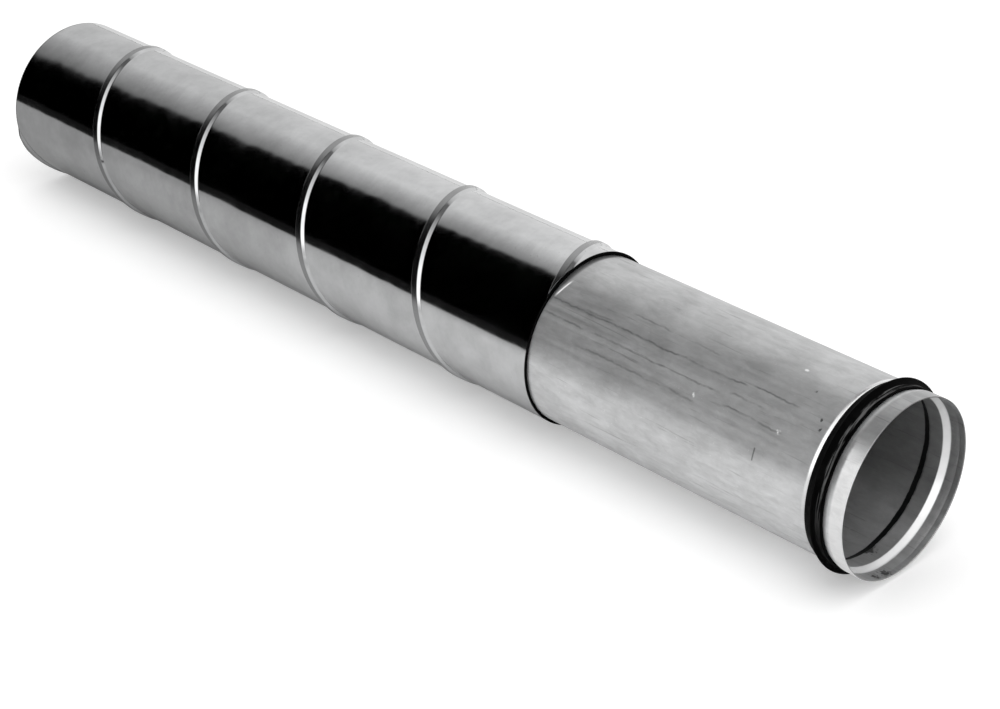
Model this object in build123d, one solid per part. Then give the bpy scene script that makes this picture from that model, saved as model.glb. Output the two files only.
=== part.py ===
from build123d import *
import os

# A telescopic spiral duct section of nominal diameter 125. A spiral-wound duct
# carries a plain pipe that slides in and out of one end, through a rubber seal
# on the duct's mouth. The pipe's free end is formed as a male spigot, and a
# groove rolled behind the spigot holds a rubber gasket with a tall lip.
# Sizes are in millimetres. Every piece is drawn standing on Z, its far end
# down and its spigot end up, then laid down along X.

# Spiral duct
SHEET = 0.5
DUCT_BORE = 62.6
DUCT_LENGTH = 598.0
DUCT_RADIUS = DUCT_BORE + SHEET

# Lock seam, a right-handed ridge of folded sheet around the duct. Its flank
# towards the far end is steep, the other one slopes, and a bevel as wide as the
# shoulder joins each flank to the flat top. The offset is the height at which
# the first full turn starts.
SEAM_LEAD = 125.5
SEAM_OFFSET = 55.5
SEAM_WIDTH = 8.8
SEAM_HEIGHT = 1.7
SEAM_FAR_FLANK = 0.9
SEAM_NEAR_FLANK = 3.3
SEAM_SHOULDER_WIDTH = 1.0
SEAM_SHOULDER_DROP = 0.35
SEAM_SINK = 0.25

# Seal on the duct's mouth: a ring over the cut edge, a wiping lip behind it
# and a sleeve inside the duct
SEAL_RING_RISE = 0.7
SEAL_RING_WIDTH = 2.0
SEAL_LIP_DEPTH = 1.5
SEAL_LIP_TAPER = 3.0
SEAL_SLEEVE_LENGTH = 20.0
SEAL_SLEEVE_WALL = 0.5
SEAL_LIP_GAP = 0.3
SEAT_GAP = 0.05

# Sliding pipe
PIPE_GAP = 1.3
PIPE_LENGTH = 500.0
PIPE_EXPOSED_LENGTH = 270.0
PIPE_RADIUS = DUCT_BORE - PIPE_GAP
RIM = DUCT_LENGTH + SEAL_RING_WIDTH + PIPE_EXPOSED_LENGTH

# Formed end of the pipe, lengths in order from the rim inwards. Each ramp of
# the groove starts and ends with a gentle slope, whose length and drop are
# shares of the ramp's own.
SPIGOT_GAP = 0.9
SPIGOT_LENGTH = 10.5
GROOVE_DEPTH = 1.8
GROOVE_NEAR_RAMP = 7.5
GROOVE_FLOOR = 10.7
GROOVE_FAR_RAMP = 4.6
EASE_SHARE = 0.3
EASE_DROP_SHARE = 0.18
SPIGOT_RADIUS = DUCT_BORE - SPIGOT_GAP
GROOVE_RADIUS = SPIGOT_RADIUS - GROOVE_DEPTH
SPIGOT_BACK = RIM - SPIGOT_LENGTH
FLOOR_NEAR = SPIGOT_BACK - GROOVE_NEAR_RAMP
FLOOR_FAR = FLOOR_NEAR - GROOVE_FLOOR
PIPE_SHOULDER = FLOOR_FAR - GROOVE_FAR_RAMP

# Gasket in the groove. Its heel and its small lip reach out over the ramps and
# lie clear of them by the lifts. Rises are counted from the spigot's outside,
# and places back from the near end of the groove's floor.
HEEL_REACH = 1.3
HEEL_LIFT = 0.35
HEEL_EDGE = 0.3
SMALL_LIP_REACH = 2.4
SMALL_LIP_LIFT = 0.5
SMALL_LIP_DROP = 0.3
BAND_RISE = 0.3
BAND_REACH = 1.0
BAND_BACK_PLACE = 2.5
MAIN_LIP_RISE = 3.8
MAIN_LIP_PLACE = 3.2
MAIN_LIP_TIP = 0.8
SEAT_MARGIN = 0.2
MAIN_LIP_RADIUS = SPIGOT_RADIUS + MAIN_LIP_RISE

# The part lies on its lowest ring, the main lip, with its middle at x = 0
LYING = Plane(origin=(-RIM / 2, 0, MAIN_LIP_RADIUS), x_dir=(0, 1, 0), z_dir=(1, 0, 0))


def turned(outline):
    """Revolve a closed outline, drawn as radius and height, about the duct's axis."""
    return revolve(make_face(Plane.XZ * outline), Axis.Z)


def rod(radius, bottom, top):
    """Solid round bar about the duct's axis from one height to another."""
    standing = (Align.CENTER, Align.CENTER, Align.MIN)
    return Pos(0, 0, bottom) * Cylinder(radius, top - bottom, align=standing)


def spiral_duct():
    """Thin tube with the lock seam standing proud of it as a helical ridge.

    The seam's section is drawn as height and place, with place counted towards
    the far end, and its flanks run on into the tube. The tube and its seam are
    made longer than the duct, then cut square at both ends in one go, as the
    duct is cut from a longer winding.
    """
    start = SEAM_OFFSET - SEAM_LEAD
    turns = int((DUCT_LENGTH - start) / SEAM_LEAD) + 1
    path = Helix(SEAM_LEAD, turns * SEAM_LEAD, DUCT_RADIUS, center=(0, 0, start))
    across = Plane(path @ 0, x_dir=(1, 0, 0), z_dir=path % 0)
    foot = SEAM_WIDTH / 2
    shoulder = SEAM_HEIGHT - SEAM_SHOULDER_DROP
    far_edge = foot - SEAM_FAR_FLANK
    near_edge = foot - SEAM_NEAR_FLANK
    far_root = foot + SEAM_FAR_FLANK * SEAM_SINK / shoulder
    near_root = foot + SEAM_NEAR_FLANK * SEAM_SINK / shoulder
    section = Polyline(
        (-SEAM_SINK, far_root),
        (shoulder, far_edge),
        (SEAM_HEIGHT, far_edge - SEAM_SHOULDER_WIDTH),
        (SEAM_HEIGHT, SEAM_SHOULDER_WIDTH - near_edge),
        (shoulder, -near_edge),
        (-SEAM_SINK, -near_root),
        close=True,
    )
    ridge = sweep(across * make_face(section), path=path, is_frenet=True)
    winding = rod(DUCT_RADIUS, start - SEAM_WIDTH, start + turns * SEAM_LEAD + SEAM_WIDTH)
    cut_length = (winding + ridge) & rod(DUCT_RADIUS + 2 * SEAM_HEIGHT, 0, DUCT_LENGTH)
    return cut_length - rod(DUCT_BORE, 0, DUCT_LENGTH)


def mouth_seal():
    """Rubber ring over the duct's cut edge, with a lip and a sleeve inside the duct."""
    edge = DUCT_LENGTH
    lip_inside = PIPE_RADIUS + SEAL_LIP_GAP
    sleeve_outside = DUCT_BORE - SEAT_GAP
    sleeve_inside = sleeve_outside - SEAL_SLEEVE_WALL
    ring_outside = DUCT_RADIUS + SEAL_RING_RISE
    face = edge + SEAL_RING_WIDTH
    lip_end = edge - SEAL_LIP_DEPTH
    sleeve_end = edge - SEAL_SLEEVE_LENGTH
    outline = Polyline(
        (sleeve_outside, sleeve_end),
        (sleeve_outside, edge),
        (ring_outside, edge),
        (ring_outside, face),
        (lip_inside, face),
        (lip_inside, lip_end),
        (sleeve_inside, lip_end - SEAL_LIP_TAPER),
        (sleeve_inside, sleeve_end),
        close=True,
    )
    return turned(outline)


def ramp(start, end):
    """Corners of a rolled ramp of the pipe's wall, each given as radius and height."""
    deep = (end[0] - start[0]) * EASE_DROP_SHARE
    along = (end[1] - start[1]) * EASE_SHARE
    leaving = (start[0] + deep, start[1] + along)
    arriving = (end[0] - deep, end[1] - along)
    return start, leaving, arriving, end


def inner_pipe():
    """Plain pipe whose free end is rolled into a gasket groove and a spigot."""
    outside = Polyline(
        (PIPE_RADIUS, RIM - PIPE_LENGTH),
        *ramp((PIPE_RADIUS, PIPE_SHOULDER), (GROOVE_RADIUS, FLOOR_FAR)),
        *ramp((GROOVE_RADIUS, FLOOR_NEAR), (SPIGOT_RADIUS, SPIGOT_BACK)),
        (SPIGOT_RADIUS, RIM),
    )
    return turned(offset(outside, amount=SHEET, side=Side.LEFT, kind=Kind.INTERSECTION, closed=True))


def end_gasket():
    """Rubber ring in the groove: a heel, a tall lip, a flat band and a small front lip."""
    seat = GROOVE_RADIUS + SEAT_GAP
    heel = FLOOR_FAR - HEEL_REACH
    front = FLOOR_NEAR + SMALL_LIP_REACH
    band = SPIGOT_RADIUS + BAND_RISE
    lip = FLOOR_NEAR - MAIN_LIP_PLACE
    outline = Polyline(
        (GROOVE_RADIUS + HEEL_LIFT, heel),
        (seat, FLOOR_FAR + SEAT_MARGIN),
        (seat, FLOOR_NEAR - SEAT_MARGIN),
        (GROOVE_RADIUS + SMALL_LIP_LIFT, front),
        (SPIGOT_RADIUS - SMALL_LIP_DROP, front),
        (band, FLOOR_NEAR + BAND_REACH),
        (band, FLOOR_NEAR - BAND_BACK_PLACE),
        (MAIN_LIP_RADIUS, lip),
        (MAIN_LIP_RADIUS, lip - MAIN_LIP_TIP),
        (GROOVE_RADIUS + HEEL_LIFT + HEEL_EDGE, heel),
        close=True,
    )
    return turned(outline)


PIECES = {
    "spiral_duct": spiral_duct,
    "mouth_seal": mouth_seal,
    "inner_pipe": inner_pipe,
    "end_gasket": end_gasket,
}

os.makedirs("parts", exist_ok=True)
for name, make in PIECES.items():
    piece = LYING * make()
    export_step(piece, f"parts/{name}.step")
    print(name, len(piece.solids()), round(piece.volume, 1), piece.bounding_box())
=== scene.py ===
import math

import bmesh
import bpy
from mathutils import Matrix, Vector


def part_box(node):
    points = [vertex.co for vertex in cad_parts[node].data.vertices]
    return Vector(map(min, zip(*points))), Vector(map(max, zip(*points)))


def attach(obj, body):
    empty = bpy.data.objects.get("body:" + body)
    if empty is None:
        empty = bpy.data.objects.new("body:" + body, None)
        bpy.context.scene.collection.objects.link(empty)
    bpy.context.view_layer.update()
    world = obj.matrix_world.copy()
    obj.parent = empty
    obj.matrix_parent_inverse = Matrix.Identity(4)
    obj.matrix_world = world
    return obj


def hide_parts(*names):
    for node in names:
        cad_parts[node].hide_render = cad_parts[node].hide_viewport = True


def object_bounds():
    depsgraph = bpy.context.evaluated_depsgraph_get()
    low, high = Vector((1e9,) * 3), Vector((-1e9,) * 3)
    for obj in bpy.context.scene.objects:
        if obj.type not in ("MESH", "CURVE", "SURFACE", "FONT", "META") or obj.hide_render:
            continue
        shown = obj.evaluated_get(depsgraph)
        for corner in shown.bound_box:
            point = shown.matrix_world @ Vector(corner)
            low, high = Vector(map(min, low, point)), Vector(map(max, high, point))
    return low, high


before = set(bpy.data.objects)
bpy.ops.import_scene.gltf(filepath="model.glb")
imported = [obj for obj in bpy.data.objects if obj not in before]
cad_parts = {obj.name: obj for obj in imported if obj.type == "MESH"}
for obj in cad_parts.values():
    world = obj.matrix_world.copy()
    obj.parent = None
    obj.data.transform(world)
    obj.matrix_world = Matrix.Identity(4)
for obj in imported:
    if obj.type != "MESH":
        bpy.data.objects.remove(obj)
cad_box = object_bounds()

# Sizes are in metres. The pieces lie along X, with their ends where the frame has
# them, and each is turned about one line at half the part's height.
DUCT_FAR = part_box("spiral_duct")[0][0]
DUCT_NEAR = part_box("spiral_duct")[1][0]
SEAL_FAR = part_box("mouth_seal")[0][0]
SEAL_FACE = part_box("mouth_seal")[1][0]
PIPE_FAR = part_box("inner_pipe")[0][0]
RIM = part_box("inner_pipe")[1][0]
AXIS_Z = round(cad_box[1][2] / 2, 6)

# Fineness: sides of every turned piece and of each turn of the strip, steps in a
# bend, and how far apart and how close to a bend the points of a straight run stand
AROUND = 192
SEAM_STEPS = 6
PIPE_STEPS = 8
RUBBER_STEPS = 4
STRIP_RUN = 0.009
STRIP_MARGIN = 0.0003
PIPE_RUN = 0.012
PIPE_MARGIN = 0.0006

SHEET = 0.0005
DUCT_RADIUS = 0.0631
DUCT_BORE = DUCT_RADIUS - SHEET
PIPE_RADIUS = 0.0613
PIPE_BORE = PIPE_RADIUS - SHEET
GROOVE_RADIUS = 0.0599
GROOVE_BORE = 0.0583
SPIGOT_RADIUS = 0.0617
SPIGOT_BORE = SPIGOT_RADIUS - SHEET

# Lock seam: where it crosses the +Y side, and the corners of its cross-section as
# (place along the axis, height, radius of the bend)
SEAM_START = DUCT_FAR + 0.0555
SEAM_LEAD = 0.1255
SEAM_TOP_FAR = -0.0038
SEAM_TOP_NEAR = 0.0016
SEAM_CORNERS = (
    (-0.0046, 0.0, 0.0003),
    (SEAM_TOP_FAR, 0.0017, 0.0006),
    (SEAM_TOP_NEAR, 0.00155, 0.0016),
    (0.0041, 0.0, 0.0014),
)

# Line inside the duct where the strip's folded edges meet
JOINT_DEPTH = 0.0002
JOINT_WIDTH = 0.0004

# The duct's sheet runs on a little way past its near end, over the back of the mouth's seal
MOUTH = DUCT_NEAR + 0.0007

# The mouth's seal: its sleeve lies inside the duct, its lip stays just clear of the
# pipe, and its ring stands proud of the duct
SLEEVE_WALL = 0.00055
LIP_GAP = 0.0003
RING_RISE = 0.0001

# The ring bulges over its top, with the middle of the bulge turned some degrees from
# there towards +Y. The bulge grows between two sines of the angle, and outwards from
# its foot below the duct's outside.
RING_BULGE = 0.0006
BULGE_TURN = 15
BULGE_START = 0.80
BULGE_FULL = 0.97
BULGE_FOOT = 0.0006

# Unevenness of the sheets. The lock seam is free of it from this height on.
DUCT_WAVE = 0.000035
PIPE_WAVE = 0.00003
EVEN_HEIGHT = 0.0001

# Formed end of the pipe, outside and inside
SHOULDER = RIM - 0.0317
GROOVE_FAR = RIM - 0.0298
GROOVE_NEAR = RIM - 0.0164
SPIGOT_BACK = RIM - 0.0124
INNER_SHOULDER = RIM - 0.0315
INNER_GROOVE_FAR = RIM - 0.0254
INNER_GROOVE_NEAR = RIM - 0.0154
INNER_SPIGOT_BACK = RIM - 0.0111

# Faint crease around the inside of the spigot
CREASE = RIM - 0.0043
CREASE_REACH = 0.0004
CREASE_DEPTH = 0.0001

# Gasket in the groove: corners as (distance back from the rim, radius, radius of the bend)
BAND_RISE = 0.0004
TALL_LIP_RISE = 0.0038
TALL_LIP_LEAN = 0.0017
GASKET_SEAT = (
    (0.0301, GROOVE_RADIUS + 0.0004, 0.0002),
    (0.0284, GROOVE_RADIUS + 0.00005, 0.0005),
    (0.0186, GROOVE_RADIUS + 0.00005, 0.001),
)
GASKET_SMALL_LIP = (
    (0.0158, GROOVE_RADIUS + 0.0006, 0.0003),
    (0.0156, SPIGOT_RADIUS - 0.0003, 0.0003),
    (0.0160, SPIGOT_RADIUS + 0.0001, 0.0003),
    (0.0166, SPIGOT_RADIUS - 0.0001, 0.0001),
    (0.0168, SPIGOT_RADIUS - 0.0006, 0.0001),
)
GASKET_BAND = (
    (0.0171, SPIGOT_RADIUS - 0.0006, 0.0001),
    (0.0173, SPIGOT_RADIUS + 0.0003, 0.0002),
    (0.0204, SPIGOT_RADIUS + BAND_RISE, 0.0005),
)
GASKET_TALL_LIP = (
    (0.0211, SPIGOT_RADIUS + 0.0022, 0.001),
    (0.0212, SPIGOT_RADIUS + TALL_LIP_RISE, 0.0003),
    (0.0220, SPIGOT_RADIUS + TALL_LIP_RISE, 0.0003),
)
GASKET_HEEL = (
    (0.0250, SPIGOT_RADIUS + 0.0019, 0.004),
    (0.0300, GROOVE_RADIUS + 0.0009, 0.0002),
)

# Bands near the rim with a look of their own, each from far to near
SHOULDER_GLOSS_AND_PAINTED_HIGHLIGHT = (RIM - 0.0319, RIM - 0.0300)
PAINTED_GROOVE_SHADE = (RIM - 0.0308, RIM - 0.0264)
DUST_THINS = (RIM - 0.030, RIM - 0.020)
PAINTED_SHEEN_BAND = (RIM - 0.0203, RIM - 0.0174)
PAINTED_HIGHLIGHT_RAMP = (RIM - 0.0150, RIM - 0.0114)
SPIGOT_START = (RIM - 0.0116, RIM - 0.0096)
CUT_RIM = (RIM - 0.0003, RIM - 0.0001)

# How far the bare steel of the duct's cut end and the dust inside it reach in
CUT_END = (DUCT_FAR + 0.0003, DUCT_FAR + 0.0011)
DUST_REACH = 0.17

# Dark rolling streaks on the pipe: start and end along X, degrees around from +Y, strength
STREAKS = (
    (0.168, 0.332, 128.4, 0.50),
    (0.198, 0.217, 126.7, 0.35),
    (0.345, 0.374, 126.4, 0.45),
    (0.168, 0.244, 138.6, 0.40),
    (0.250, 0.271, 138.4, 0.40),
    (0.296, 0.317, 138.5, 0.50),
    (0.332, 0.352, 136.2, 0.40),
    (0.205, 0.302, 149.6, 0.35),
    (0.234, 0.259, 116.2, 0.35),
    (0.284, 0.303, 117.0, 0.30),
    (0.331, 0.372, 144.6, 0.40),
    (0.015, 0.150, 130.6, 0.45),
    (-0.040, 0.110, 141.5, 0.35),
    (0.060, 0.140, 119.0, 0.35),
    (0.080, 0.230, 52.0, 0.35),
    (0.210, 0.370, 24.0, 0.40),
    (0.010, 0.190, -14.0, 0.35),
    (0.240, 0.340, -38.0, 0.30),
)

# Half the width of a streak and the width of its soft edges, in radians, and the
# length over which its ends fade
STREAK_REACH = 0.003
STREAK_EDGE = 0.014
STREAK_FADE = 0.006

# A dark scratch around the pipe, and a painted glint: a pale line aslant around it that
# stands in for a highlight. Each gives start and end along X, then start and end in
# degrees around from +Y. The slant is in metres along X for each radian around.
SCRATCH = (0.3604, 0.3609, 159, 166.5)
PAINTED_GLINT = (0.1987, 0.1990, 117, 124)
PAINTED_GLINT_SLANT = 0.0143

# Spots on the pipe: place along X, radius, degrees around from +Y, size
DARK_SPOTS = (
    (0.3799, PIPE_RADIUS, 112.9, 0.0015),
    (0.3955, PIPE_RADIUS, 127.5, 0.0013),
    (0.3981, PIPE_RADIUS, 133.3, 0.0013),
    (0.4092, GROOVE_BORE, -86.5, 0.0052),
    (0.4303, SPIGOT_BORE, -96.2, 0.0045),
    (0.4300, SPIGOT_BORE, -106.0, 0.0040),
)
PALE_SPOTS = (
    (0.3619, PIPE_RADIUS, 101.3, 0.0016),
    (0.3723, PIPE_RADIUS, 144.6, 0.0016),
    (0.3041, PIPE_RADIUS, 146.3, 0.0016),
)

# Camera of the photograph. Its focal length and the sensor's width are in
# millimetres, and the last value is the way that it looks.
FOCAL_LENGTH = 87.04
SENSOR_WIDTH = 36.0
CAMERA_PLACE = (1.1706, -1.0613, AXIS_Z + 0.7946)
CAMERA_LOOK = (-0.6288, 0.6093, -0.4832)

# Lamp overhead, the way to the bright wall, and half the width of the floor
LAMP_PLACE = (0.5, -0.4, 2.6)
LAMP_SIZE = 2.4
LAMP_POWER = 22.0
WALL_WAY = (-0.566, 0.677, -0.470)
FLOOR_REACH = 12.0


class Nodes:
    """Short calls for building one node tree."""

    def __init__(self, tree):
        self.tree = tree

    def add(self, kind, **settings):
        node = self.tree.nodes.new(kind)
        for name, value in settings.items():
            setattr(node, name, value)
        return node

    def link(self, source, target):
        self.tree.links.new(source, target)

    def put(self, value, socket):
        if isinstance(value, bpy.types.NodeSocket):
            self.link(value, socket)
        else:
            socket.default_value = value

    def math(self, operation, a, b=0.0, clamp=False):
        node = self.add("ShaderNodeMath", operation=operation, use_clamp=clamp)
        self.put(a, node.inputs[0])
        self.put(b, node.inputs[1])
        return node.outputs[0]

    def chain(self, operation, values):
        result = values[0]
        for value in values[1:]:
            result = self.math(operation, result, value)
        return result

    def product(self, *factors):
        return self.chain("MULTIPLY", factors)

    def total(self, *terms):
        return self.chain("ADD", terms)

    def highest(self, *values):
        return self.chain("MAXIMUM", values)

    def rest(self, share):
        """What a share leaves of 1."""
        return self.math("SUBTRACT", 1.0, share)

    def ramp(self, value, low, high, out_low=0.0, out_high=1.0, smooth=True):
        node = self.add("ShaderNodeMapRange")
        node.interpolation_type = "SMOOTHSTEP" if smooth else "LINEAR"
        self.put(value, node.inputs["Value"])
        node.inputs["From Min"].default_value = low
        node.inputs["From Max"].default_value = high
        node.inputs["To Min"].default_value = out_low
        node.inputs["To Max"].default_value = out_high
        return node.outputs["Result"]

    def fall(self, value, low, high):
        """1 up to low, falling to 0 at high."""
        return self.ramp(value, low, high, 1.0, 0.0)

    def turn(self, angle, low, high, *levels, smooth=True):
        """A ramp over an angle, with its ends given in degrees."""
        return self.ramp(angle, math.radians(low), math.radians(high), *levels, smooth=smooth)

    def spread(self, texture, low, high):
        """A noise texture's usual values, 0.3 to 0.7, spread from low to high."""
        return self.ramp(texture, 0.3, 0.7, low, high)

    def band(self, value, low, high, soft):
        """1 between low and high, fading to 0 over a soft edge on both sides."""
        return self.product(self.ramp(value, low - soft, low), self.fall(value, high, high + soft))

    def scaled(self, vector, scale, shift=(0, 0, 0)):
        node = self.add("ShaderNodeMapping")
        self.link(vector, node.inputs["Vector"])
        node.inputs["Scale"].default_value = scale
        node.inputs["Location"].default_value = shift
        return node.outputs["Vector"]

    def split(self, vector):
        node = self.add("ShaderNodeSeparateXYZ")
        self.link(vector, node.inputs[0])
        return node.outputs

    def noise(self, vector, scale, detail=2.0, rough=0.5, distortion=0.0):
        node = self.add("ShaderNodeTexNoise")
        self.link(vector, node.inputs["Vector"])
        node.inputs["Scale"].default_value = scale
        node.inputs["Detail"].default_value = detail
        node.inputs["Roughness"].default_value = rough
        node.inputs["Distortion"].default_value = distortion
        return node.outputs["Fac"]

    def drawn(self, vector, scale, detail, rough, distortion=0.0, shift=(0, 0, 0)):
        """Noise drawn out, with a scale of its own along each direction."""
        return self.noise(self.scaled(vector, scale, shift), 1.0, detail, rough, distortion)

    def mix(self, factor, a, b):
        node = self.add("ShaderNodeMix", data_type="RGBA")
        self.put(factor, node.inputs[0])
        self.put(a, node.inputs[6])
        self.put(b, node.inputs[7])
        return node.outputs[2]

    def choose(self, factor, a, b):
        """Number a where factor is 0 and b where it is 1."""
        node = self.add("ShaderNodeMix", data_type="FLOAT")
        self.put(factor, node.inputs[0])
        self.put(a, node.inputs[2])
        self.put(b, node.inputs[3])
        return node.outputs[0]

    def bump(self, height, strength, distance, normal=None):
        node = self.add("ShaderNodeBump")
        node.inputs["Strength"].default_value = strength
        node.inputs["Distance"].default_value = distance
        self.link(height, node.inputs["Height"])
        if normal is not None:
            self.link(normal, node.inputs["Normal"])
        return node.outputs["Normal"]

    def dot(self, a, b):
        node = self.add("ShaderNodeVectorMath", operation="DOT_PRODUCT")
        self.link(a, node.inputs[0])
        self.put(b, node.inputs[1])
        return node.outputs["Value"]

    def shader(self, colour, rough, normal, metallic=1.0, specular=0.5):
        node = self.add("ShaderNodeBsdfPrincipled")
        node.inputs["Metallic"].default_value = metallic
        node.inputs["Specular IOR Level"].default_value = specular
        self.link(colour, node.inputs["Base Color"])
        self.link(rough, node.inputs["Roughness"])
        self.link(normal, node.inputs["Normal"])
        return node.outputs[0]

    def blend(self, factor, a, b):
        node = self.add("ShaderNodeMixShader")
        self.put(factor, node.inputs[0])
        self.link(a, node.inputs[1])
        self.link(b, node.inputs[2])
        return node.outputs[0]


def empty_material(name):
    """A new material without nodes, its Nodes and the socket for its surface."""
    material = bpy.data.materials.new(name)
    material.use_nodes = True
    material.node_tree.nodes.clear()
    n = Nodes(material.node_tree)
    return material, n, n.add("ShaderNodeOutputMaterial").inputs["Surface"]


def grey(value, tint=0.0):
    """A grey, turned a little towards blue by the tint."""
    return (value * (1 - tint), value, value * (1 + tint), 1.0)


def facing_axis(n, coordinates):
    """1 on surfaces that face the duct's axis and 0 on those that face away from it."""
    spoke = n.scaled(coordinates.outputs["Object"], (0, 1, 1), (0, 0, -AXIS_Z))
    return n.math("LESS_THAN", n.dot(spoke, coordinates.outputs["Normal"]), 0.0)


def bright_zinc():
    """Glossy zinc coated sheet of the spiral duct."""
    material, n, surface = empty_material("bright_zinc_sheet")
    coordinates = n.add("ShaderNodeTexCoord")
    place = coordinates.outputs["Object"]
    along = n.split(place)[0]
    # Place on the flat strip: how far along it, then how far across it from the seam
    strip = n.add("ShaderNodeUVMap").outputs["UV"]
    across = n.split(strip)[1]
    cloud = n.noise(place, 26.0, 4.0, 0.6)
    blotch = n.noise(place, 110.0, 3.0, 0.65)
    roll = n.drawn(strip, (6.0, 420.0, 1.0), 3.0, 0.6)
    fleck = n.noise(place, 620.0, 2.0, 0.5)
    tone = n.total(n.spread(cloud, -0.14, 0.13), n.spread(blotch, -0.06, 0.05), n.spread(roll, -0.02, 0.02))
    level = n.math("ADD", tone, 0.5, clamp=True)
    colour = n.mix(level, grey(0.40, 0.006), grey(0.80, 0.008))
    colour = n.mix(n.ramp(fleck, 0.70, 0.78), colour, grey(0.40))
    # Bare steel shows at the cut end
    colour = n.mix(n.ramp(along, *CUT_END, 0.85, 0.0), colour, grey(0.03))
    # The folded top of the lock seam is darker and rougher than the flat strip
    folded = n.band(across, SEAM_TOP_FAR, SEAM_TOP_NEAR - 0.0002, 0.0006)
    colour = n.mix(n.product(folded, 0.5), colour, grey(0.02))
    rough = n.total(
        n.ramp(cloud, 0.25, 0.75, 0.07, 0.10),
        n.ramp(blotch, 0.35, 0.7, -0.01, 0.02),
        n.product(folded, 0.13),
    )
    wave = n.bump(n.noise(place, 21.0, 2.0, 0.45), 0.24, 0.0016)
    grain = n.bump(n.noise(place, 900.0, 3.0, 0.6), 0.02, 0.0002, wave)
    bright = n.shader(colour, rough, grain)
    # The inside is dull with zinc oxide and dust, most of all near the open end
    oxide = n.shader(n.mix(level, grey(0.24), grey(0.46)), n.spread(blotch, 0.6, 0.8), grain, metallic=0.0)
    deep = n.ramp(along, DUCT_FAR, DUCT_FAR + DUST_REACH, 0.62, 0.04, smooth=False)
    dusty = n.product(facing_axis(n, coordinates), deep, n.spread(cloud, 0.85, 1.0))
    n.link(n.blend(dusty, bright, oxide), surface)
    return material


class PipeSurface:
    """Places, sides and textures that the pipe's marks share.

    rise is the height above the axis, and around the angle about it from the +Y side.
    """

    def __init__(self, n):
        coordinates = n.add("ShaderNodeTexCoord")
        self.place = coordinates.outputs["Object"]
        self.x, y, z = n.split(self.place)
        self.rise = n.math("SUBTRACT", z, AXIS_Z)
        self.around = n.math("ARCTAN2", self.rise, y)
        self.inward = facing_axis(n, coordinates)
        self.outward = n.rest(self.inward)
        self.cloud = n.noise(self.place, 30.0, 4.0, 0.62)
        self.stain = n.drawn(self.place, (18.0, 60.0, 60.0), 4.0, 0.65, 0.6)
        self.mottle = n.drawn(self.place, (70.0, 150.0, 150.0), 4.0, 0.7, 0.4)
        self.streak = n.drawn(self.place, (9.0, 260.0, 260.0), 5.0, 0.68)
        self.ragged = n.noise(self.place, 480.0, 3.0, 0.6)


def rolled_zinc(n, pipe):
    """Colour of the pipe's zinc: cloudy, mottled and streaked along its length."""
    thin = n.drawn(pipe.place, (22.0, 620.0, 620.0), 3.0, 0.6, 0.4, shift=(3.0, 1.0, 2.0))
    fleck = n.noise(pipe.place, 420.0, 2.0, 0.5)
    tone = n.total(
        n.spread(pipe.cloud, -0.10, 0.10),
        n.spread(pipe.stain, -0.14, 0.12),
        n.spread(pipe.mottle, -0.14, 0.13),
        n.spread(pipe.streak, -0.06, 0.05),
    )
    colour = n.mix(n.math("ADD", tone, 0.5, clamp=True), grey(0.52, 0.004), grey(0.93, 0.006))
    colour = n.mix(n.ramp(thin, 0.60, 0.74, 0.0, 0.4), colour, grey(0.2))
    return n.mix(n.ramp(fleck, 0.70, 0.76, 0.0, 0.5), colour, grey(0.9))


def rolling_streaks(n, pipe):
    """Long dark streaks that wander a little and break up as they run along the pipe."""
    drift = n.drawn(pipe.place, (26.0, 2.0, 2.0), 4.0, 0.7)
    broken = n.drawn(pipe.place, (70.0, 40.0, 40.0), 3.0, 0.6)
    wandering = n.total(pipe.around, n.ramp(drift, 0.25, 0.75, -0.030, 0.030, smooth=False))
    marks = 0.0
    for start, end, degrees, strength in STREAKS:
        line = math.radians(degrees)
        width = n.band(wandering, line - STREAK_REACH, line + STREAK_REACH, STREAK_EDGE)
        length = n.band(pipe.x, start, end, STREAK_FADE)
        marks = n.highest(marks, n.product(width, length, strength))
    return n.product(marks, n.ramp(broken, 0.32, 0.62, 0.15, 1.0))


def painted_shade_beside_mouth(n, pipe):
    """Painted shade on the top of the pipe just beside the mouth, standing in for the seal ring's shadow
    and its dark reflection.
    """
    reach = n.math("SUBTRACT", pipe.x, n.ramp(pipe.rise, 0.050, 0.0605, 0.0006, 0.0034))
    return n.product(
        n.fall(reach, SEAL_FACE - 0.0006, SEAL_FACE + 0.0018),
        n.ramp(pipe.x, SEAL_FACE - 0.005, SEAL_FACE - 0.001),
        n.ramp(pipe.rise, 0.040, 0.054),
    )


def spots(n, pipe, centres):
    """1 within small spots with ragged edges, each given by x, radius, degrees and size."""
    marks = 0.0
    for x, radius, degrees, size in centres:
        gap = n.add("ShaderNodeVectorMath", operation="DISTANCE")
        n.link(pipe.place, gap.inputs[0])
        gap.inputs[1].default_value = at(x, radius, math.radians(degrees))
        edge = n.total(gap.outputs["Value"], n.spread(pipe.ragged, -0.5 * size, 0.5 * size))
        marks = n.highest(marks, n.fall(edge, 0.3 * size, size))
    return marks


def dark_marks_and_painted_shade(n, pipe):
    """How dark the pipe is made: streaks, a scratch, spots, and painted shade beside the mouth."""
    start, end, low, high = SCRATCH
    scratch = n.product(
        n.band(pipe.around, math.radians(low), math.radians(high), 0.01),
        n.band(pipe.x, start, end, 0.0006),
        0.6,
    )
    return n.highest(
        rolling_streaks(n, pipe),
        scratch,
        n.product(spots(n, pipe, DARK_SPOTS), 0.85),
        n.product(painted_shade_beside_mouth(n, pipe), 0.68),
    )


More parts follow.
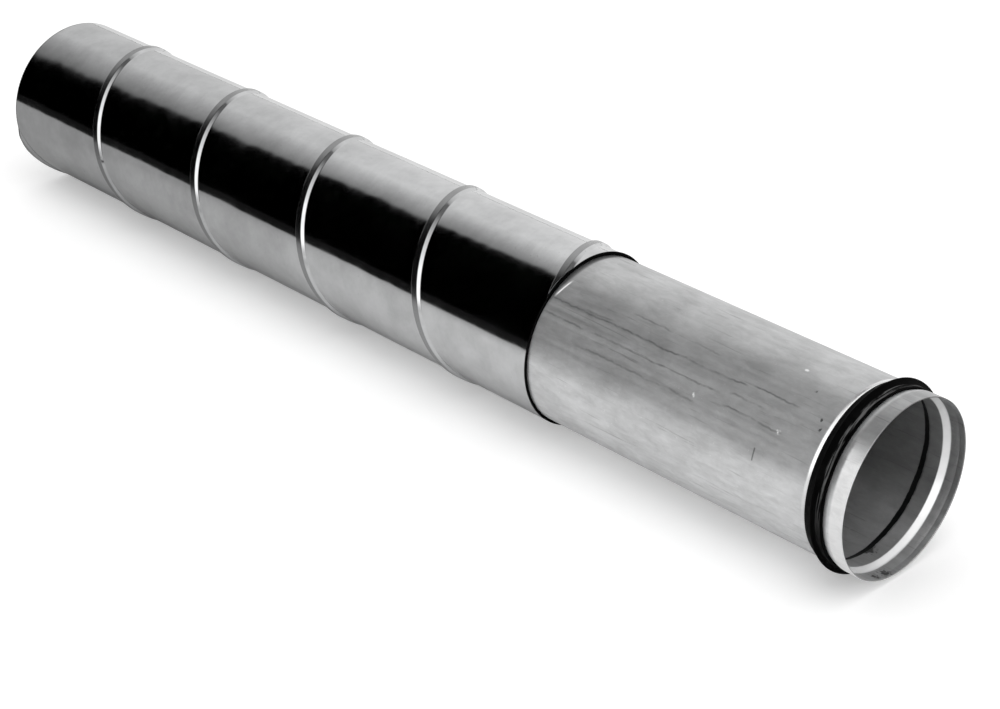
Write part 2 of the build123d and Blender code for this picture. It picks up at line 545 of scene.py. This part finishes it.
def painted_shade(n, pipe, ramp_inside):
    """Painted shade: how much the pipe's colour is darkened on its top, most of all on the spigot, and on
    its inside away from the inner ramp, least along the bottom.
    """
    top = n.product(
        pipe.outward,
        n.ramp(pipe.rise, 0.036, 0.058),
        n.ramp(pipe.x, *SPIGOT_START, 0.16, 0.40),
    )
    inside = n.product(
        pipe.inward,
        n.rest(ramp_inside),
        n.ramp(pipe.rise, -0.056, -0.025, 0.08, 0.42),
    )
    return n.total(top, inside)


def pale_marks_and_painted_light(n, pipe):
    """How pale the pipe is made: painted light on the spigot's outside, mottled and fading out over its
    top, a painted glint and pale spots.
    """
    painted_light_on_spigot = n.product(
        n.ramp(pipe.x, *SPIGOT_START),
        pipe.outward,
        n.ramp(pipe.rise, 0.034, 0.053, 0.80, 0.0),
        n.spread(pipe.mottle, 0.85, 1.1),
    )
    # Painted glint: a pale line aslant around the pipe, standing in for a highlight
    start, end, low, high = PAINTED_GLINT
    glint = n.product(
        n.band(n.total(pipe.x, n.product(pipe.around, PAINTED_GLINT_SLANT)), start, end, 0.0009),
        n.band(pipe.around, math.radians(low), math.radians(high), 0.09),
        0.95,
    )
    return n.highest(painted_light_on_spigot, glint, n.product(spots(n, pipe, PALE_SPOTS), 0.7))


def dust(n, pipe):
    """How much dust lies on the pipe: along the bottom inside, and thinly outside."""
    inside = n.product(
        pipe.inward,
        n.fall(pipe.rise, -0.055, -0.02),
        n.ramp(pipe.x, *DUST_THINS, 0.20, 0.11),
    )
    return n.total(inside, n.product(pipe.outward, n.ramp(pipe.x, 0.15, 0.40, 0.05, 0.12)))


def satin_zinc():
    """Dull zinc coated sheet of the sliding pipe, with rolling streaks along its length."""
    material, n, surface = empty_material("satin_zinc_sheet")
    pipe = PipeSurface(n)
    # Dark streaks, a scratch and spots, and painted shade beside the mouth
    colour = n.mix(dark_marks_and_painted_shade(n, pipe), rolled_zinc(n, pipe), grey(0.08))
    # Painted shade: a dark line is painted inside where the wall turns in to the groove, for the shade of
    # that hollow
    edge = n.total(pipe.x, n.spread(pipe.stain, -0.0004, 0.0004))
    groove_shade = n.product(pipe.inward, n.band(edge, *PAINTED_GROOVE_SHADE, 0.0005))
    colour = n.mix(groove_shade, colour, grey(0.008))
    # Bare steel shows at the cut rim
    colour = n.mix(n.ramp(pipe.x, *CUT_RIM, 0.0, 0.8), colour, grey(0.2))
    # The rolls have made the shoulder outside glossier; it and the ramp inside are also painted near-white
    # as a painted highlight
    ramp_inside = n.band(pipe.x, *PAINTED_HIGHLIGHT_RAMP, 0.0006)
    shoulder = n.product(
        pipe.outward,
        n.band(pipe.x, *SHOULDER_GLOSS_AND_PAINTED_HIGHLIGHT, 0.0006),
        n.ramp(pipe.rise, -0.01, 0.03),
    )
    painted_highlight = n.highest(shoulder, n.product(pipe.inward, ramp_inside))
    # Painted shade on the pipe's top and inside
    colour = n.mix(painted_shade(n, pipe, ramp_inside), colour, grey(0.06))
    colour = n.mix(n.product(painted_highlight, 0.8), colour, grey(0.97))

    relief = n.bump(pipe.streak, 0.12, 0.0003, n.bump(pipe.cloud, 0.25, 0.0012))
    dull = n.shader(colour, n.spread(pipe.streak, 0.50, 0.60), relief)
    sheen = n.shader(colour, n.spread(pipe.cloud, 0.16, 0.22), relief)
    shine = n.highest(n.spread(pipe.cloud, 0.18, 0.30), n.product(shoulder, 0.9))
    # Chalky share: painted light on the spigot, the painted glint, pale spots and dust
    pale = pale_marks_and_painted_light(n, pipe)
    chalk = n.shader(n.mix(pale, colour, grey(0.86)), n.spread(pipe.cloud, 0.6, 0.8), relief, metallic=0.0)
    bloom_and_painted_light = n.math("ADD", n.total(pale, dust(n, pipe)), n.spread(pipe.cloud, 0.03, 0.08), clamp=True)
    n.link(n.blend(bloom_and_painted_light, n.blend(shine, dull, sheen), chalk), surface)
    return material


def black_rubber(name, dustiness):
    """Matt black rubber with a little dust and moulding grain."""
    material, n, surface = empty_material(name)
    place = n.add("ShaderNodeTexCoord").outputs["Object"]
    x, _, z = n.split(place)
    cloud = n.noise(place, 60.0, 4.0, 0.6)
    grain = n.noise(place, 1500.0, 2.0, 0.5)
    lines = n.drawn(place, (1100.0, 60.0, 60.0), 4.0, 0.65)
    # Painted sheen: the flat band in front of the gasket's tall lip is painted grey in thin lines, most of
    # all on top, for the light it reflects
    painted_sheen = n.product(
        n.band(x, *PAINTED_SHEEN_BAND, 0.0003),
        n.ramp(lines, 0.44, 0.60),
        n.ramp(z, AXIS_Z - 0.02, AXIS_Z + 0.03, 0.15, 1.0),
    )
    colour = n.mix(n.product(n.ramp(cloud, 0.45, 0.7), dustiness), grey(0.0012), grey(0.012))
    colour = n.mix(painted_sheen, colour, grey(0.11))
    relief = n.bump(grain, 0.2, 0.0002)
    n.link(n.shader(colour, n.spread(cloud, 0.5, 0.7), relief, metallic=0.0, specular=0.02), surface)
    return material


def show(name, mesh, material):
    """Puts a mesh in the scene as a piece of this name."""
    mesh.materials.append(material)
    made = bpy.data.objects.new(name, mesh)
    bpy.context.scene.collection.objects.link(made)
    return made


def piece(name, points, faces, material):
    """A smooth piece from its points and faces."""
    mesh = bpy.data.meshes.new(name)
    mesh.from_pydata(points, [], faces)
    mesh.shade_smooth()
    return show(name, mesh, material)


def at(x, radius, angle):
    """A point at a place along the duct's axis, a distance from it and an angle about it."""
    return (x, radius * math.cos(angle), AXIS_Z + radius * math.sin(angle))


def soften(corners, steps):
    """Rounds a line's corners, each (x, radius, bend), where a bend of 0 stays sharp.

    A bend takes no more than 0.49 of the run to the next corner.
    """
    places = [Vector((x, radius)) for x, radius, bend in corners]
    line = []
    for i, (here, corner) in enumerate(zip(places, corners)):
        bend = corner[2]
        if bend == 0:
            line.append(here)
            continue
        back = places[i - 1] - here
        ahead = places[(i + 1) % len(places)] - here
        turn = back.angle(ahead)
        reach = min(bend / math.tan(turn / 2), 0.49 * back.length, 0.49 * ahead.length)
        radius = reach * math.tan(turn / 2)
        first = here + back.normalized() * reach
        middle = (back.normalized() + ahead.normalized()).normalized()
        centre = here + middle * (radius / math.sin(turn / 2))
        side = first - centre
        way = 1 if back.x * ahead.y - back.y * ahead.x < 0 else -1
        for k in range(steps + 1):
            a = way * (math.pi - turn) * k / steps
            c, s = math.cos(a), math.sin(a)
            line.append(centre + Vector((side.x * c - side.y * s, side.x * s + side.y * c)))
    return line


def spaced(line, step, margin):
    """Divides a line's long runs, first at a margin from each end, which keeps the shading flat between."""
    dense = []
    for a, b in zip(line, line[1:]):
        length = (b - a).length
        dense.append(a)
        if length > 3 * margin:
            parts = max(1, math.ceil((length - 2 * margin) / step))
            for k in range(parts + 1):
                dense.append(a.lerp(b, (margin + (length - 2 * margin) * k / parts) / length))
    dense.append(line[-1])
    return dense


def turned(name, section, material, shaped):
    """Turns a closed line of (x, radius) points about the duct's axis.

    shaped takes x, radius and angle and gives the x and radius to use there.
    """
    points = []
    for i in range(AROUND):
        angle = 2 * math.pi * i / AROUND
        for x, radius in section:
            points.append(at(*shaped(x, radius, angle), angle))
    count = len(section)
    faces = []
    for i in range(AROUND):
        here, there = i * count, ((i + 1) % AROUND) * count
        for j in range(count):
            k = (j + 1) % count
            faces.append((here + j, here + k, there + k, there + j))
    made = piece(name, points, faces, material)
    tidy = bmesh.new()
    tidy.from_mesh(made.data)
    bmesh.ops.recalc_face_normals(tidy, faces=tidy.faces)
    tidy.to_mesh(made.data)
    tidy.free()
    return made


def duct_wave(x, angle):
    """Slight unevenness of the wound sheet."""
    wave = math.sin(2 * angle + 31 * x) + 0.8 * math.sin(3 * angle - 47 * x + 1.3)
    wave += 0.6 * math.sin(5 * angle + 68 * x + 0.4)
    return DUCT_WAVE * wave


def strip_lines():
    """Lines along the strip, as (place across it, height), with the lock seam in the middle."""
    half = SEAM_LEAD / 2
    corners = ((-half, 0.0, 0), *SEAM_CORNERS, (half, 0.0, 0))
    return [tuple(point) for point in spaced(soften(corners, SEAM_STEPS), STRIP_RUN, STRIP_MARGIN)][:-1]


def outer_radius(x, angle, height):
    """Outside of the wound strip, whose flat part is slightly uneven."""
    radius = DUCT_RADIUS + height
    radius += duct_wave(x, angle) if height < EVEN_HEIGHT else 0.0
    return radius


def inner_radius(across):
    """Inside of the wound strip, with a fine line where its folded edges meet."""
    return DUCT_BORE + JOINT_DEPTH * math.exp(-((across / JOINT_WIDTH) ** 2))


def wind(skin, layer, lines, inside):
    """Winds one side of the strip into a tube, turn beside turn.

    It starts and ends 1.6 turns beyond the duct, to be cut off square. Each face keeps
    its place on the flat strip, along it and across it, in the layer.
    """
    spare = 1.6 * SEAM_LEAD
    first = math.floor(AROUND * (DUCT_FAR - spare - SEAM_START) / SEAM_LEAD)
    last = math.ceil(AROUND * (MOUTH + spare - SEAM_START) / SEAM_LEAD)
    arc = 2 * math.pi * DUCT_RADIUS / AROUND
    grid = []
    for i in range(first, last + 1):
        angle = 2 * math.pi * i / AROUND
        row = []
        for across, height in lines:
            x = SEAM_START + SEAM_LEAD * i / AROUND + across
            radius = inner_radius(across) if inside else outer_radius(x, angle, height)
            row.append(skin.verts.new(at(x, radius, angle)))
        grid.append(row)
    # The strip's near edge is the far edge of the next turn
    edges = [across for across, height in lines] + [lines[0][0] + SEAM_LEAD]
    for i in range(len(grid) - AROUND - 1):
        here = grid[i] + grid[i + AROUND][:1]
        there = grid[i + 1] + grid[i + 1 + AROUND][:1]
        start, end = i * arc, (i + 1) * arc
        for j, (far, near) in enumerate(zip(edges, edges[1:])):
            corners = [here[j], there[j], there[j + 1], here[j + 1]]
            places = [(start, far), (end, far), (end, near), (start, near)]
            if inside:
                corners.reverse()
                places.reverse()
            for loop, place in zip(skin.faces.new(corners).loops, places):
                loop[layer].uv = place


def cut_square(skin):
    """Cuts the winding off square at both ends of the duct."""
    for x, way in ((DUCT_FAR, -1), (MOUTH, 1)):
        everything = skin.verts[:] + skin.edges[:] + skin.faces[:]
        bmesh.ops.bisect_plane(
            skin, geom=everything, dist=1e-7, plane_co=(x, 0, 0), plane_no=(way, 0, 0), clear_outer=True
        )


def close_rim(skin, x):
    """Joins the inner and the outer skin along the cut edge at x."""
    inner, outer = [], []
    for vertex in skin.verts:
        if abs(vertex.co.x - x) < 1e-6:
            radius = math.hypot(vertex.co.y, vertex.co.z - AXIS_Z)
            ring = outer if radius > (DUCT_RADIUS + DUCT_BORE) / 2 else inner
            ring.append(vertex)
    for ring in (inner, outer):
        ring.sort(key=lambda vertex: math.atan2(vertex.co.z - AXIS_Z, vertex.co.y))
    for k in range(len(inner)):
        m = (k + 1) % len(inner)
        skin.faces.new((inner[k], inner[m], outer[m], outer[k]))


def shade_rims_flat(skin):
    """Shades the cut rims, which face along X, flat with sharp edges, and the rest smooth."""
    for face in skin.faces:
        face.smooth = abs(face.normal.x) < 0.95
    for edge in skin.edges:
        if any(not face.smooth for face in edge.link_faces):
            edge.smooth = False


def spiral_shell(material):
    """The wound strip with its lock seam: outer and inner skin, cut square at both ends."""
    skin = bmesh.new()
    layer = skin.loops.layers.uv.new("UVMap")
    lines = strip_lines()
    wind(skin, layer, lines, inside=False)
    wind(skin, layer, lines, inside=True)
    cut_square(skin)
    close_rim(skin, DUCT_FAR)
    close_rim(skin, MOUTH)
    loose = [vertex for vertex in skin.verts if not vertex.link_faces]
    bmesh.ops.delete(skin, geom=loose, context="VERTS")
    bmesh.ops.recalc_face_normals(skin, faces=skin.faces)
    shade_rims_flat(skin)
    mesh = bpy.data.meshes.new("spiral_shell")
    skin.to_mesh(mesh)
    skin.free()
    return show("spiral_shell", mesh, material)


def uneven(x, radius, angle):
    """The pipe's sheet is slightly uneven."""
    wave = math.sin(2 * angle + 23 * x) + 0.7 * math.sin(3 * angle - 39 * x + 0.7)
    return x, radius + PIPE_WAVE * wave


def creased(line):
    """Presses the crease of the spigot into the pipe's inside line."""
    clear = 1.5 * CREASE_REACH
    before = [tuple(point) for point in line if point.x < CREASE - clear]
    after = [tuple(point) for point in line if point.x > CREASE + clear]
    fold = [
        (CREASE - CREASE_REACH, SPIGOT_BORE),
        (CREASE, SPIGOT_BORE + CREASE_DEPTH),
        (CREASE + CREASE_REACH, SPIGOT_BORE),
    ]
    return before + fold + after


def formed_pipe(material):
    """The sliding pipe, whose end is rolled into a gasket groove and a spigot."""
    outer_corners = (
        (PIPE_FAR, PIPE_RADIUS, 0),
        (SHOULDER, PIPE_RADIUS, 0.004),
        (GROOVE_FAR, GROOVE_RADIUS, 0.0015),
        (GROOVE_NEAR, GROOVE_RADIUS, 0.008),
        (SPIGOT_BACK, SPIGOT_RADIUS, 0.008),
        (RIM, SPIGOT_RADIUS, 0),
    )
    inner_corners = (
        (PIPE_FAR, PIPE_BORE, 0),
        (INNER_SHOULDER, PIPE_BORE, 0.002),
        (INNER_GROOVE_FAR, GROOVE_BORE, 0.003),
        (INNER_GROOVE_NEAR, GROOVE_BORE, 0.002),
        (INNER_SPIGOT_BACK, SPIGOT_BORE, 0.003),
        (RIM, SPIGOT_BORE, 0),
    )
    outside = spaced(soften(outer_corners, PIPE_STEPS), PIPE_RUN, PIPE_MARGIN)
    inside = spaced(soften(inner_corners, PIPE_STEPS), PIPE_RUN, PIPE_MARGIN)
    section = [tuple(point) for point in outside] + creased(inside)[::-1]
    return turned("formed_pipe", section, material, uneven)


def leaning(x, radius, angle):
    """The tall lip of the gasket leans back at the top and forward at the bottom."""
    tall = max(0.0, radius - SPIGOT_RADIUS - BAND_RISE) / (TALL_LIP_RISE - BAND_RISE)
    return x - TALL_LIP_LEAN * tall * math.sin(angle), radius


def lip_gasket(material):
    """The gasket in the groove: a heel, a tall lip, a flat band and a small front lip."""
    corners = [
        (RIM - back, radius, bend)
        for back, radius, bend in (
            *GASKET_SEAT, *GASKET_SMALL_LIP, *GASKET_BAND, *GASKET_TALL_LIP, *GASKET_HEEL
        )
    ]
    return turned("lip_gasket", soften(corners, RUBBER_STEPS), material, leaning)


def bulging(x, radius, angle):
    """The mouth's ring stands prouder over its top, where the pipe hangs away from it."""
    sine = math.sin(angle + math.radians(BULGE_TURN))
    high = min(1.0, max(0.0, (sine - BULGE_START) / (BULGE_FULL - BULGE_START)))
    proud = min(1.0, max(0.0, radius - DUCT_RADIUS + BULGE_FOOT) / (BULGE_FOOT + RING_RISE))
    return x, radius + RING_BULGE * high * high * (3 - 2 * high) * proud


def mouth_ring(material):
    """The seal on the duct's mouth: a ring over the cut edge and a sleeve inside the duct."""
    sleeve = DUCT_BORE - SLEEVE_WALL
    lip = PIPE_RADIUS + LIP_GAP
    rise = DUCT_RADIUS + RING_RISE
    # The ring's back stays just clear of the duct's cut edge
    back = MOUTH + 0.00005
    corners = (
        (SEAL_FAR, sleeve, 0.0001),
        (MOUTH - 0.0002, sleeve, 0),
        (back, sleeve + 0.0002, 0),
        (back, rise, 0.0002),
        (SEAL_FACE, rise, 0.0005),
        (SEAL_FACE, lip, 0.0003),
        (DUCT_NEAR - 0.001, lip + 0.0006, 0.0003),
        (DUCT_NEAR - 0.003, lip, 0.0003),
        (SEAL_FAR, lip, 0.0001),
    )
    return turned("mouth_ring", soften(corners, RUBBER_STEPS), material, bulging)


def wall_light(n, way, dx, tilt):
    """A bright wall behind the duct, beyond a slanting plane. The room before it is dark."""
    depth = n.dot(way, WALL_WAY)
    return n.product(
        n.total(0.28, n.ramp(depth, 0.0, 0.38, 0.0, 0.66, smooth=False)),
        n.ramp(depth, -0.01, 0.03),
        n.ramp(dx, -0.85, -0.6, 0.68, 1.0),
        n.turn(tilt, 50, 64),
    )


def key_light(n, dx, tilt):
    """The main light, on the camera's side, which fades over the duct's top."""
    return n.product(
        n.turn(tilt, 0, 14, 0.45, 1.0),
        n.turn(tilt, 48, 112, 1.0, 0.12, smooth=False),
        n.turn(tilt, 140, 155, 1.0, 0.0),
        n.ramp(dx, -0.42, 0.22),
        1.6,
    )


def lamp_light(n, dx, tilt):
    """A lamp high beyond the open end of the pipe, out of reach of the seams' slopes."""
    reach = n.total(dx, n.product(tilt, 0.212))
    return n.product(
        n.ramp(reach, 0.72, 0.80),
        n.turn(tilt, 40, 60),
        n.turn(tilt, 140, 155, 1.0, 0.0),
        1.2,
    )


def surround():
    """The room that the metal reflects, and a plain white for the camera."""
    world = bpy.data.worlds.new("studio")
    bpy.context.scene.world = world
    world.use_nodes = True
    world.cycles.sampling_method = "NONE"
    world.node_tree.nodes.clear()
    n = Nodes(world.node_tree)
    way = n.add("ShaderNodeTexCoord").outputs["Generated"]
    dx, dy, dz = n.split(way)
    # Angle about the duct's line, from level on the -Y side up and over
    tilt = n.math("ARCTAN2", dz, n.product(dy, -1.0))
    glow = n.total(wall_light(n, way, dx, tilt), key_light(n, dx, tilt))
    glow = n.highest(glow, lamp_light(n, dx, tilt))
    path = n.add("ShaderNodeLightPath")
    level = n.choose(path.outputs["Is Glossy Ray"], 0.8, glow)
    shown = n.choose(path.outputs["Is Camera Ray"], level, 1.0)
    background = n.add("ShaderNodeBackground")
    background.inputs["Color"].default_value = (1, 1, 1, 1)
    n.link(shown, background.inputs["Strength"])
    n.link(background.outputs[0], n.add("ShaderNodeOutputWorld").inputs["Surface"])


def softbox():
    """A wide soft lamp overhead."""
    lamp = bpy.data.lights.new("softbox", "AREA")
    lamp.shape = "DISK"
    lamp.size = LAMP_SIZE
    lamp.energy = LAMP_POWER
    box = bpy.data.objects.new("softbox", lamp)
    box.location = LAMP_PLACE
    box.rotation_euler = Vector(box.location).to_track_quat("Z", "Y").to_euler()
    box.visible_glossy = False
    bpy.context.scene.collection.objects.link(box)


def paper_floor():
    """A sheet of white paper, which ends in a dark room for what the metal reflects."""
    paper, n, surface = empty_material("white_paper")
    place = n.add("ShaderNodeTexCoord").outputs["Object"]
    x, y, _ = n.split(place)
    path = n.add("ShaderNodeLightPath")
    reflected = path.outputs["Is Glossy Ray"]
    white = n.add("ShaderNodeBsdfDiffuse")
    n.link(n.mix(n.noise(place, 300.0), grey(0.80), grey(0.82)), white.inputs["Color"])
    lift = n.add("ShaderNodeEmission")
    behind = n.product(reflected, n.ramp(y, 0.3, 1.5, 0.0, 0.25))
    n.link(n.total(n.product(path.outputs["Is Camera Ray"], 0.3), behind), lift.inputs["Strength"])
    lifted = n.add("ShaderNodeAddShader")
    n.link(white.outputs[0], lifted.inputs[0])
    n.link(lift.outputs[0], lifted.inputs[1])
    # Dark in front of the duct's far half: beside it, a little off and, most of all, beyond
    beside = n.product(n.ramp(x, -0.5, 0.05, 0.5, 0.0, smooth=False), n.fall(y, 0.0, 0.05))
    off = n.product(n.ramp(y, -0.42, -0.17, 0.35, 0.0), n.fall(x, -0.1, 0.3))
    skew = n.total(x, n.product(y, -0.70))
    beyond = n.product(n.fall(y, -0.48, -0.38), n.fall(skew, 0.16, 0.27))
    dark = n.product(n.highest(beside, off, beyond), reflected)
    room = n.add("ShaderNodeEmission")
    room.inputs["Color"].default_value = (0.01, 0.01, 0.01, 1)
    n.link(n.blend(dark, lifted.outputs[0], room.outputs[0]), surface)
    corners = [(FLOOR_REACH * x, FLOOR_REACH * y, 0) for x, y in ((-1, -1), (1, -1), (1, 1), (-1, 1))]
    piece("floor", corners, [(0, 1, 2, 3)], paper)


def photo_camera():
    """The camera at the photograph's angle."""
    lens = bpy.data.cameras.new("camera")
    lens.lens = FOCAL_LENGTH
    lens.sensor_width = SENSOR_WIDTH
    camera = bpy.data.objects.new("camera", lens)
    camera.location = CAMERA_PLACE
    camera.rotation_euler = Vector(CAMERA_LOOK).to_track_quat("-Z", "Y").to_euler()
    bpy.context.scene.collection.objects.link(camera)
    bpy.context.scene.camera = camera


bpy.context.scene.view_settings.view_transform = "Standard"
surround()
softbox()
paper_floor()
photo_camera()

zinc = bright_zinc()
satin = satin_zinc()
seal_rubber = black_rubber("seal_rubber", 0.25)
gasket_rubber = black_rubber("gasket_rubber", 0.2)

parts = (
    (spiral_shell(zinc), "duct", "spiral_duct", "bright_galvanised_sheet"),
    (mouth_ring(seal_rubber), "duct", "mouth_seal", "black_rubber_seal"),
    (formed_pipe(satin), "pipe", "inner_pipe", "satin_galvanised_sheet"),
    (lip_gasket(gasket_rubber), "pipe", "end_gasket", "black_rubber_gasket"),
)
for made, body, node, slot in parts:
    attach(made, body)
    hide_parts(node)
